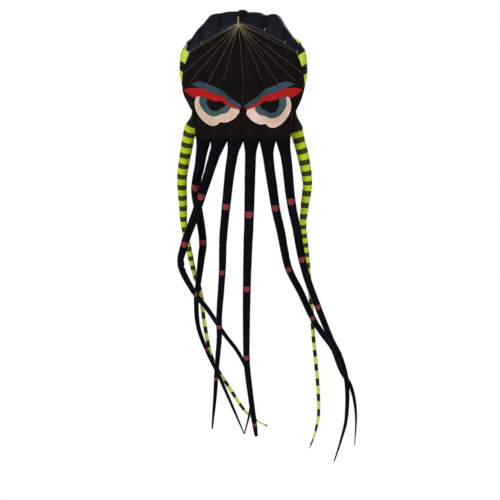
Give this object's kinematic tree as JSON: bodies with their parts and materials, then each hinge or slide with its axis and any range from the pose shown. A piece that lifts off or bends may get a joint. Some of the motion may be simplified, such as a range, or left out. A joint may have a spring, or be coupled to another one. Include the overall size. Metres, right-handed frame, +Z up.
{
  "type": "octopus kite",
  "caption": "Soft wind-filled kite shaped like an octopus: ribbed head with stern eyes, a bridle fan from a tow loop, and trailing tube legs, two of them striped.",
  "frame": {"origin": "eye of the tow loop, where the flying line is tied", "axes": "+Z up along the head towards its nose with the legs hanging down, -Y the way the face looks, +X to the right for someone facing it"},
  "size_m": [2.1797, 1.5901, 5.3992],
  "materials": {
    "black_ripstop": "black ripstop nylon with a faint sheen, sewn seams, slightly navy in the light",
    "belly_ripstop": "black ripstop nylon seen against the light, slightly brown",
    "striped_ripstop": "ripstop nylon sewn in bands of fluorescent yellow-green and black",
    "red_ripstop": "red ripstop nylon",
    "blue_ripstop": "grey-blue ripstop nylon",
    "cream_ripstop": "cream-pink ripstop nylon",
    "teal_ripstop": "grey-teal ripstop nylon",
    "intake_mesh": "open grey polyester mesh",
    "bridle_cord": "tan braided cord",
    "tow_cord": "pale yellow braided sleeve and knot"
  },
  "bodies": {
    "head": {"belly_skin": "belly_ripstop", "nose_skin": "black_ripstop", "back_skin": "black_ripstop", "intake_mesh_left": "intake_mesh", "intake_mesh_right": "intake_mesh", "rib_centre": "black_ripstop", "rib_inner_left": "black_ripstop", "rib_outer_left": "black_ripstop", "side_wall_left": "black_ripstop", "rib_inner_right": "black_ripstop", "rib_outer_right": "black_ripstop", "side_wall_right": "black_ripstop", "side_cell_left": "striped_ripstop", "side_cell_right": "striped_ripstop", "eye_white_left": "cream_ripstop", "eye_white_right": "cream_ripstop", "iris_left": "teal_ripstop", "iris_right": "teal_ripstop", "pupil_left": "black_ripstop", "pupil_right": "black_ripstop", "brow_blue_left": "blue_ripstop", "brow_blue_right": "blue_ripstop", "brow_red_left": "red_ripstop", "brow_red_right": "red_ripstop", "bridle_line_nose_inner": "bridle_cord", "bridle_line_nose_middle": "bridle_cord", "bridle_line_nose_outer": "bridle_cord", "bridle_line_middle_row": "bridle_cord", "bridle_line_side_cell": "bridle_cord", "bridle_line_centre": "bridle_cord", "bridle_line_lower_inner": "bridle_cord", "bridle_line_lower_outer": "bridle_cord", "bridle_line_lower_middle": "bridle_cord", "bridle_knot": "tow_cord", "tow_loop": "tow_cord"},
    "striped_leg_left_upper": {"striped_leg_left_upper": "striped_ripstop"},
    "striped_leg_left_middle": {"striped_leg_left_middle": "striped_ripstop"},
    "striped_leg_left_tip": {"striped_leg_left_tip": "striped_ripstop"},
    "black_leg_1_upper": {"black_leg_1_upper": "black_ripstop"},
    "black_leg_1_middle": {"black_leg_1_middle": "black_ripstop"},
    "black_leg_1_tip": {"black_leg_1_tip": "black_ripstop"},
    "black_leg_2_upper": {"black_leg_2_upper": "black_ripstop"},
    "black_leg_2_middle": {"black_leg_2_middle": "black_ripstop"},
    "black_leg_2_tip": {"black_leg_2_tip": "black_ripstop"},
    "black_leg_3_upper": {"black_leg_3_upper": "black_ripstop"},
    "black_leg_3_middle": {"black_leg_3_middle": "black_ripstop"},
    "black_leg_3_tip": {"black_leg_3_tip": "black_ripstop"},
    "black_leg_4_upper": {"black_leg_4_upper": "black_ripstop"},
    "black_leg_4_middle": {"black_leg_4_middle": "black_ripstop"},
    "black_leg_4_tip": {"black_leg_4_tip": "black_ripstop"},
    "black_leg_5_upper": {"black_leg_5_upper": "black_ripstop"},
    "black_leg_5_middle": {"black_leg_5_middle": "black_ripstop"},
    "black_leg_5_tip": {"black_leg_5_tip": "black_ripstop"},
    "black_leg_6_upper": {"black_leg_6_upper": "black_ripstop"},
    "black_leg_6_middle": {"black_leg_6_middle": "black_ripstop"},
    "black_leg_6_tip": {"black_leg_6_tip": "black_ripstop"},
    "striped_leg_right_upper": {"striped_leg_right_upper": "striped_ripstop"},
    "striped_leg_right_middle": {"striped_leg_right_middle": "striped_ripstop"},
    "striped_leg_right_tip": {"striped_leg_right_tip": "striped_ripstop"}
  },
  "joints": [
    {"name": "striped_leg_left_root", "type": "hinge", "parent": "head", "child": "striped_leg_left_upper", "pos_m": [-0.628, 1.375, -1.15], "axis": [0, 1, 0], "range_deg": [-6, 6], "stiffness_Nm_per_rad": 20},
    {"name": "striped_leg_left_knee", "type": "hinge", "parent": "striped_leg_left_upper", "child": "striped_leg_left_middle", "pos_m": [-0.665, 1.5475, -2.83], "axis": [0, 1, 0], "range_deg": [-20, 20], "stiffness_Nm_per_rad": 10},
    {"name": "striped_leg_left_end", "type": "hinge", "parent": "striped_leg_left_middle", "child": "striped_leg_left_tip", "pos_m": [-0.42, 1.5475, -4.01], "axis": [0, 1, 0], "range_deg": [-30, 30], "stiffness_Nm_per_rad": 4},
    {"name": "black_leg_1_root", "type": "hinge", "parent": "head", "child": "black_leg_1_upper", "pos_m": [-0.485, 1.18, -1.475], "axis": [0, 1, 0], "range_deg": [-4, 6], "stiffness_Nm_per_rad": 20},
    {"name": "black_leg_1_knee", "type": "hinge", "parent": "black_leg_1_upper", "child": "black_leg_1_middle", "pos_m": [-0.52, 1.4412, -2.88], "axis": [0, 1, 0], "range_deg": [-20, 20], "stiffness_Nm_per_rad": 10},
    {"name": "black_leg_1_end", "type": "hinge", "parent": "black_leg_1_middle", "child": "black_leg_1_tip", "pos_m": [-0.45, 1.4425, -4], "axis": [0, 1, 0], "range_deg": [-30, 30], "stiffness_Nm_per_rad": 4},
    {"name": "black_leg_2_root", "type": "hinge", "parent": "head", "child": "black_leg_2_upper", "pos_m": [-0.297, 1.18, -1.475], "axis": [0, 1, 0], "range_deg": [-6, 4], "stiffness_Nm_per_rad": 20},
    {"name": "black_leg_2_knee", "type": "hinge", "parent": "black_leg_2_upper", "child": "black_leg_2_middle", "pos_m": [-0.745, 1.1275, -2.975], "axis": [0, 1, 0], "range_deg": [-20, 20], "stiffness_Nm_per_rad": 10},
    {"name": "black_leg_2_end", "type": "hinge", "parent": "black_leg_2_middle", "child": "black_leg_2_tip", "pos_m": [-0.055, 1.1275, -4.02], "axis": [0, 1, 0], "range_deg": [-30, 30], "stiffness_Nm_per_rad": 4},
    {"name": "black_leg_3_root", "type": "hinge", "parent": "head", "child": "black_leg_3_upper", "pos_m": [-0.103, 1.18, -1.475], "axis": [0, 1, 0], "range_deg": [-6, 6], "stiffness_Nm_per_rad": 20},
    {"name": "black_leg_3_knee", "type": "hinge", "parent": "black_leg_3_upper", "child": "black_leg_3_middle", "pos_m": [-0.235, 0.8125, -3.06], "axis": [0, 1, 0], "range_deg": [-20, 20], "stiffness_Nm_per_rad": 10},
    {"name": "black_leg_3_end", "type": "hinge", "parent": "black_leg_3_middle", "child": "black_leg_3_tip", "pos_m": [-0.3, 0.8125, -4.2], "axis": [0, 1, 0], "range_deg": [-30, 30], "stiffness_Nm_per_rad": 4},
    {"name": "black_leg_4_root", "type": "hinge", "parent": "head", "child": "black_leg_4_upper", "pos_m": [0.09, 1.18, -1.475], "axis": [0, 1, 0], "range_deg": [-6, 6], "stiffness_Nm_per_rad": 20},
    {"name": "black_leg_4_knee", "type": "hinge", "parent": "black_leg_4_upper", "child": "black_leg_4_middle", "pos_m": [0.065, 0.91993, -2.845], "axis": [0, 1, 0], "range_deg": [-20, 20], "stiffness_Nm_per_rad": 10},
    {"name": "black_leg_4_end", "type": "hinge", "parent": "black_leg_4_middle", "child": "black_leg_4_tip", "pos_m": [0.055, 0.9175, -4.13], "axis": [0, 1, 0], "range_deg": [-30, 30], "stiffness_Nm_per_rad": 4},
    {"name": "black_leg_5_root", "type": "hinge", "parent": "head", "child": "black_leg_5_upper", "pos_m": [0.283, 1.18, -1.475], "axis": [0, 1, 0], "range_deg": [-6, 6], "stiffness_Nm_per_rad": 20},
    {"name": "black_leg_5_knee", "type": "hinge", "parent": "black_leg_5_upper", "child": "black_leg_5_middle", "pos_m": [0.55, 1.2325, -3.025], "axis": [0, 1, 0], "range_deg": [-20, 20], "stiffness_Nm_per_rad": 10},
    {"name": "black_leg_5_end", "type": "hinge", "parent": "black_leg_5_middle", "child": "black_leg_5_tip", "pos_m": [1.075, 1.2325, -3.97], "axis": [0, 1, 0], "range_deg": [-30, 30], "stiffness_Nm_per_rad": 4},
    {"name": "black_leg_6_root", "type": "hinge", "parent": "head", "child": "black_leg_6_upper", "pos_m": [0.485, 1.18, -1.475], "axis": [0, 1, 0], "range_deg": [-6, 6], "stiffness_Nm_per_rad": 20},
    {"name": "black_leg_6_knee", "type": "hinge", "parent": "black_leg_6_upper", "child": "black_leg_6_middle", "pos_m": [0.715, 1.02292, -2.905], "axis": [0, 1, 0], "range_deg": [-20, 20], "stiffness_Nm_per_rad": 10},
    {"name": "black_leg_6_end", "type": "hinge", "parent": "black_leg_6_middle", "child": "black_leg_6_tip", "pos_m": [1.06, 1.0225, -3.85], "axis": [0, 1, 0], "range_deg": [-30, 30], "stiffness_Nm_per_rad": 4},
    {"name": "striped_leg_right_root", "type": "hinge", "parent": "head", "child": "striped_leg_right_upper", "pos_m": [0.628, 1.375, -1.15], "axis": [0, 1, 0], "range_deg": [-6, 6], "stiffness_Nm_per_rad": 20},
    {"name": "striped_leg_right_knee", "type": "hinge", "parent": "striped_leg_right_upper", "child": "striped_leg_right_middle", "pos_m": [0.745, 1.3375, -2.785], "axis": [0, 1, 0], "range_deg": [-20, 20], "stiffness_Nm_per_rad": 10},
    {"name": "striped_leg_right_end", "type": "hinge", "parent": "striped_leg_right_middle", "child": "striped_leg_right_tip", "pos_m": [0.86, 1.3375, -4.105], "axis": [0, 1, 0], "range_deg": [-30, 30], "stiffness_Nm_per_rad": 4}
  ]
}
